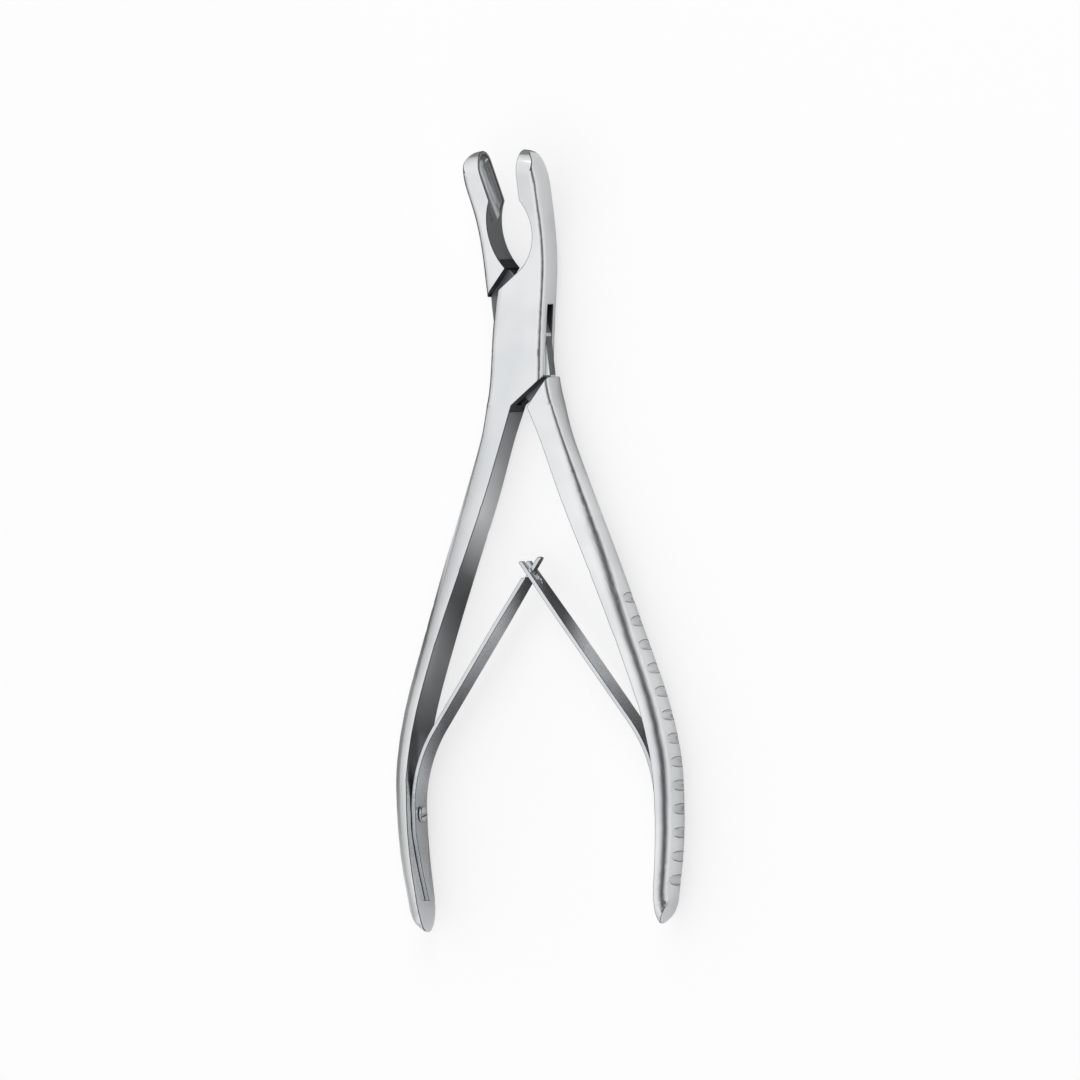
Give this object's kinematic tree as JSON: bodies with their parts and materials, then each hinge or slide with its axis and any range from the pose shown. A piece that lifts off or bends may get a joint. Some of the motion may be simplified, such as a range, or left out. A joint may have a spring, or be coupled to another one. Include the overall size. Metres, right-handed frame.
{
  "type": "bone rongeur",
  "caption": "Single-action bone rongeur with a box lock, forward-bent cupped jaws, grooved handles and two interlocking leaf springs, lying open on its back.",
  "frame": {"origin": "on the pivot axis, in the flat back face of the box that the instrument lies on", "axes": "+Y from the pivot towards the jaw tips, +Z along the pivot axis away from the back face, the way the jaws bend, +X to the right"},
  "size_m": [0.0688, 0.1736, 0.0168],
  "materials": {
    "satin_steel": "satin",
    "pin_steel": "satin",
    "spring_steel": "satin",
    "screw_steel": "polished"
  },
  "bodies": {
    "box_body": {"box_half": "satin_steel", "pivot_pin": "pin_steel", "tongue_spring_screw": "screw_steel"},
    "tongue_body": {"tongue_half": "satin_steel", "fork_spring_screw": "screw_steel"},
    "tongue_leaf": {"tongue_spring": "spring_steel"},
    "fork_leaf": {"fork_spring": "spring_steel"}
  },
  "joints": [
    {"name": "jaw_pivot", "type": "hinge", "parent": "box_body", "child": "tongue_body", "pos_m": [0, 0, 0], "axis": [0, 0, -1], "range_deg": [0, 13.5], "stiffness_Nm_per_rad": 2, "springref_deg": -2.86},
    {"name": "tongue_leaf_flex", "type": "hinge", "parent": "box_body", "child": "tongue_leaf", "pos_m": [-0.027, -0.091, 0.0042], "axis": [0, 0, 1], "range_deg": [0, 8.3], "deforming": ["tongue_spring"]},
    {"name": "fork_leaf_flex", "type": "hinge", "parent": "tongue_body", "child": "fork_leaf", "pos_m": [0.027, -0.091, 0.0042], "axis": [0, 0, -1], "range_deg": [0, 8.3], "deforming": ["fork_spring"]}
  ],
  "couplings": [
    {"joint": "tongue_leaf_flex", "follows": "jaw_pivot", "ratio": 0.6085},
    {"joint": "fork_leaf_flex", "follows": "jaw_pivot", "ratio": 0.6085}
  ]
}
